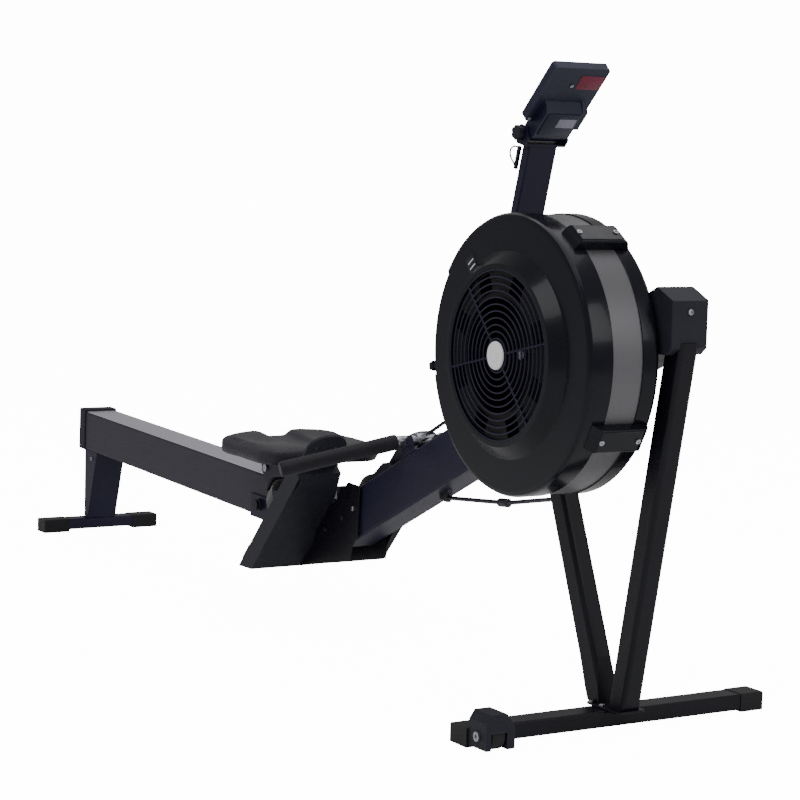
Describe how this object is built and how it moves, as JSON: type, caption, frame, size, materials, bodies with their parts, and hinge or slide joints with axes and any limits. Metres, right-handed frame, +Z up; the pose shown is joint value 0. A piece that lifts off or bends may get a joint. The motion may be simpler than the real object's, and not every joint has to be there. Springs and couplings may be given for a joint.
{
  "type": "rowing machine",
  "caption": "Air-resistance rowing machine: monorail with sliding contoured seat, inclined beam, side fan cage, V legs, footrests, chain handle and folding monitor arm.",
  "frame": {"origin": "on the floor, midway along the machine's length and on its centre plane", "axes": "+X from the seat end to the flywheel end, +Y to the rower's left, +Z up"},
  "size_m": [2.3358, 0.61, 1.1007],
  "materials": {
    "frame_black": "satin powder coat",
    "leg_black": "satin powder coat",
    "rail_grey": "satin",
    "rail_steel": "brushed",
    "plastic_black": "moulded grain",
    "cage_gloss": "gloss moulded",
    "band_metal": "perforated sheet",
    "badge_white": "gloss",
    "rubber_black": "matt",
    "steel_plain": "turned",
    "chain_steel": "plated",
    "cord_black": "braided",
    "seat_vinyl": "grained vinyl",
    "grip_foam": "closed cell foam",
    "strap_web": "woven webbing",
    "case_plastic": "fine grain",
    "screen_glass": "clear window",
    "button_grey": "matt",
    "wheel_rubber": "matt",
    "roller_nylon": "smooth",
    "fan_grey": "matt"
  },
  "bodies": {
    "frame": {"main_beam": "frame_black", "beam_front_cap": "plastic_black", "leg_front": "leg_black", "leg_rear": "leg_black", "leg_base_plate": "leg_black", "leg_stay": "steel_plain", "front_foot_bar": "leg_black", "foot_end_caps": "rubber_black", "wheel_cover": "plastic_black", "monorail": "rail_grey", "rail_track": "rail_steel", "rail_end_cap": "plastic_black", "rear_leg": "frame_black", "rear_foot_bar": "frame_black", "joint_plates": "leg_black", "frame_lock_bracket": "frame_black", "footboard_near": "plastic_black", "footboard_far": "plastic_black", "footrest_bridge": "plastic_black", "foot_straps": "strap_web", "chain_guide": "plastic_black", "handle_hook": "frame_black", "chain_feed": "chain_steel", "shock_cord": "cord_black", "shell_near": "cage_gloss", "grille": "frame_black", "hub_badge": "badge_white", "perforated_band": "band_metal", "shell_far": "cage_gloss", "shell_clips": "cage_gloss", "axle_bearings": "steel_plain", "arm_yoke": "frame_black", "frame_bolts": "steel_plain"},
    "flywheel": {"flywheel_fan": "fan_grey", "flywheel_axle": "steel_plain"},
    "sprocket": {"chain_sprocket": "chain_steel"},
    "cord_pulley": {"return_pulley": "roller_nylon"},
    "handle": {"handle_bar": "steel_plain", "handle_grips": "grip_foam", "handle_swivel": "steel_plain", "chain_run": "chain_steel"},
    "damper": {"damper_ring": "plastic_black"},
    "seat": {"seat_pad": "seat_vinyl", "seat_carriage": "frame_black", "seat_axles": "steel_plain"},
    "rollers_front": {"seat_rollers_front": "roller_nylon"},
    "rollers_rear": {"seat_rollers_rear": "roller_nylon"},
    "arm": {"monitor_arm": "frame_black", "monitor_bracket": "frame_black"},
    "monitor": {"monitor_case": "case_plastic", "monitor_bezel": "case_plastic", "monitor_screen": "screen_glass"},
    "knob": {"monitor_knob": "plastic_black"},
    "button_1": {"monitor_button_1": "button_grey"},
    "button_2": {"monitor_button_2": "button_grey"},
    "button_3": {"monitor_button_3": "button_grey"},
    "wheel": {"transport_wheel": "wheel_rubber"},
    "toe_near": {"toe_plate_near": "plastic_black"},
    "toe_far": {"toe_plate_far": "plastic_black"},
    "pin": {"lock_pin": "plastic_black"}
  },
  "joints": [
    {"name": "seat_slide", "type": "slide", "parent": "frame", "child": "seat", "axis": [0.9995, 0, -0.03], "range_m": [-0.93, 0.05]},
    {"name": "rollers_front_roll", "type": "hinge", "parent": "seat", "child": "rollers_front", "pos_m": [-0.04801, 0, 0.27713], "axis": [0, 1, 0], "range_deg": [-3400, 200]},
    {"name": "rollers_rear_roll", "type": "hinge", "parent": "seat", "child": "rollers_rear", "pos_m": [-0.17195, 0, 0.28085], "axis": [0, 1, 0], "range_deg": [-3400, 200]},
    {"name": "flywheel_spin", "type": "hinge", "parent": "frame", "child": "flywheel", "pos_m": [0.914, 0, 0.616], "axis": [0, 1, 0], "continuous": true},
    {"name": "handle_pull", "type": "slide", "parent": "frame", "child": "handle", "axis": [-0.9336, 0, 0.3584], "range_m": [0, 1.1], "stiffness_N_per_m": 18, "springref_m": -0.9, "deforming": ["chain_run", "chain_feed", "shock_cord"]},
    {"name": "sprocket_turn", "type": "hinge", "parent": "frame", "child": "sprocket", "pos_m": [0.914, 0, 0.616], "axis": [0, 1, 0], "range_deg": [-4460, 0]},
    {"name": "pulley_turn", "type": "hinge", "parent": "frame", "child": "cord_pulley", "pos_m": [0.25538, 0, 0.25664], "axis": [0, 1, 0], "range_deg": [0, 2770]},
    {"name": "damper_turn", "type": "hinge", "parent": "frame", "child": "damper", "pos_m": [0.914, 0, 0.616], "axis": [0, 1, 0], "range_deg": [0, 38]},
    {"name": "arm_fold", "type": "hinge", "parent": "frame", "child": "arm", "pos_m": [0.62, 0, 0.564], "axis": [0, 1, 0], "range_deg": [-95, 0]},
    {"name": "monitor_tilt", "type": "hinge", "parent": "arm", "child": "monitor", "pos_m": [0.735, 0, 0.981], "axis": [0, 1, 0], "range_deg": [-30, 15]},
    {"name": "knob_turn", "type": "hinge", "parent": "arm", "child": "knob", "pos_m": [0.735, 0, 0.981], "axis": [0, 1, 0], "range_deg": [0, 360]},
    {"name": "button_1_press", "type": "slide", "parent": "monitor", "child": "button_1", "axis": [0.7034, 0, -0.7108], "range_m": [0, 0.0015], "stiffness_N_per_m": 300, "springref_m": -0.001},
    {"name": "button_2_press", "type": "slide", "parent": "monitor", "child": "button_2", "axis": [0.7034, 0, -0.7108], "range_m": [0, 0.0015], "stiffness_N_per_m": 300, "springref_m": -0.001},
    {"name": "button_3_press", "type": "slide", "parent": "monitor", "child": "button_3", "axis": [0.7034, 0, -0.7108], "range_m": [0, 0.0015], "stiffness_N_per_m": 300, "springref_m": -0.001},
    {"name": "wheel_spin", "type": "hinge", "parent": "frame", "child": "wheel", "pos_m": [1.052, 0, 0.025], "axis": [0, 1, 0], "continuous": true},
    {"name": "toe_near_slide", "type": "slide", "parent": "frame", "child": "toe_near", "axis": [0.6743, 0, 0.7385], "range_m": [-0.045, 0]},
    {"name": "toe_far_slide", "type": "slide", "parent": "frame", "child": "toe_far", "axis": [0.6743, 0, 0.7385], "range_m": [-0.045, 0]},
    {"name": "pin_pull", "type": "slide", "parent": "frame", "child": "pin", "axis": [0, -1, 0], "range_m": [0, 0.012], "stiffness_N_per_m": 500, "springref_m": -0.004}
  ],
  "couplings": [
    {"joint": "rollers_front_roll", "follows": "seat_slide", "rad_per_m": 62.696},
    {"joint": "rollers_rear_roll", "follows": "seat_slide", "rad_per_m": 62.696},
    {"joint": "sprocket_turn", "follows": "handle_pull", "rad_per_m": -70.085},
    {"joint": "pulley_turn", "follows": "handle_pull", "rad_per_m": 43.478}
  ]
}
